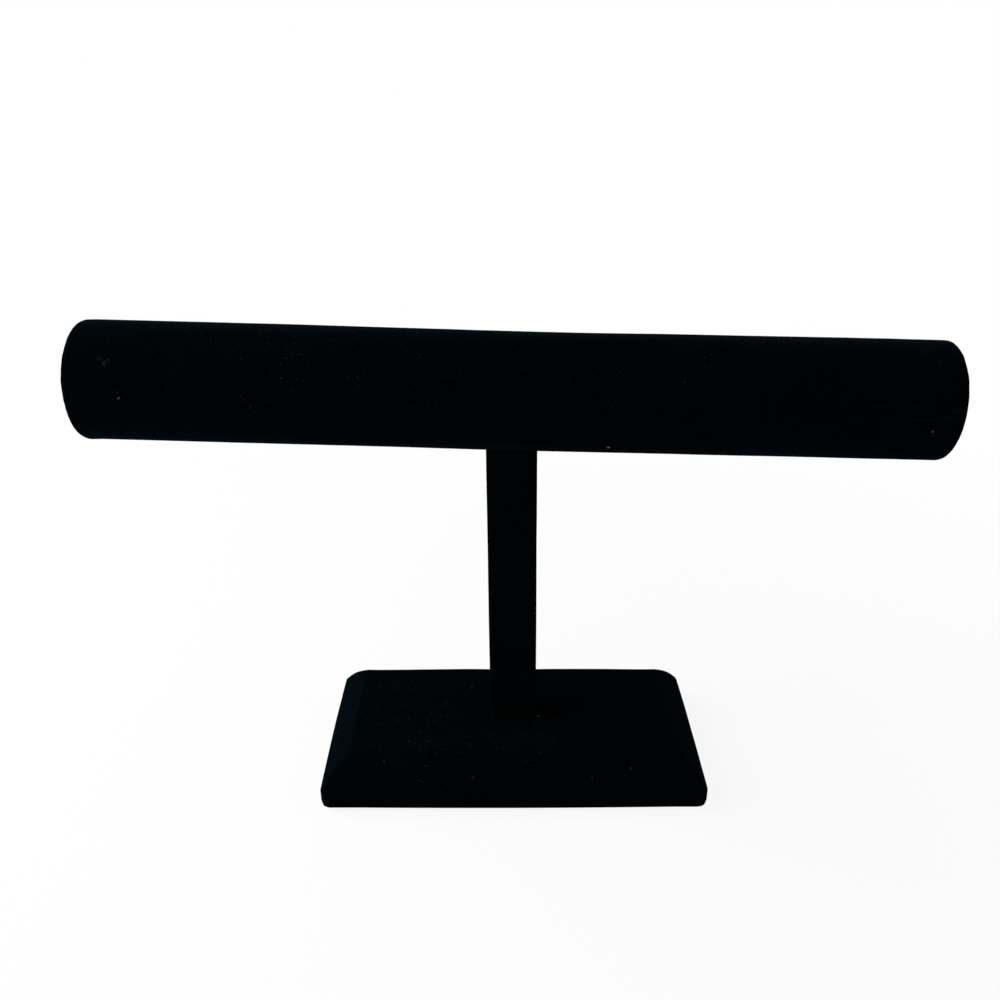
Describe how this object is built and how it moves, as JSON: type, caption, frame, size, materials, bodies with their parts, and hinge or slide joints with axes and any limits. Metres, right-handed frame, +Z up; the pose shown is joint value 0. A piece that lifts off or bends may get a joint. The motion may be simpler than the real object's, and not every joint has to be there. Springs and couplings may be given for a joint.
{
  "type": "bracelet display stand",
  "caption": "Velvet T-bar display stand: a long padded round bar on a square post and a bevelled rectangular base, for bracelets and watches.",
  "frame": {"origin": "centre of the base's underside, on the surface that the stand rests on", "axes": "+X along the bar to the right as seen from the front, +Y to the back, +Z up"},
  "size_m": [0.3058, 0.0794, 0.1797],
  "materials": {
    "base_wood": "matte",
    "post_wood": "matte",
    "disc_board": "matte",
    "tube_paperboard": "matte",
    "padding_foam": "matte",
    "screw_steel": "satin",
    "lining_felt": "matte",
    "base_velvet": "matte",
    "post_velvet": "matte",
    "bar_velvet": "matte",
    "end_velvet": "matte"
  },
  "bodies": {
    "root": {"base_board": "base_wood", "base_cover": "base_velvet", "base_lining": "lining_felt", "base_screw": "screw_steel", "post_block": "post_wood", "post_cover": "post_velvet", "bar_tube": "tube_paperboard", "bar_padding": "padding_foam", "bar_cover": "bar_velvet", "bar_screw": "screw_steel", "bar_washer": "screw_steel", "end_disc_left": "disc_board", "end_disc_right": "disc_board", "end_cover_left": "end_velvet", "end_cover_right": "end_velvet"}
  },
  "joints": []
}
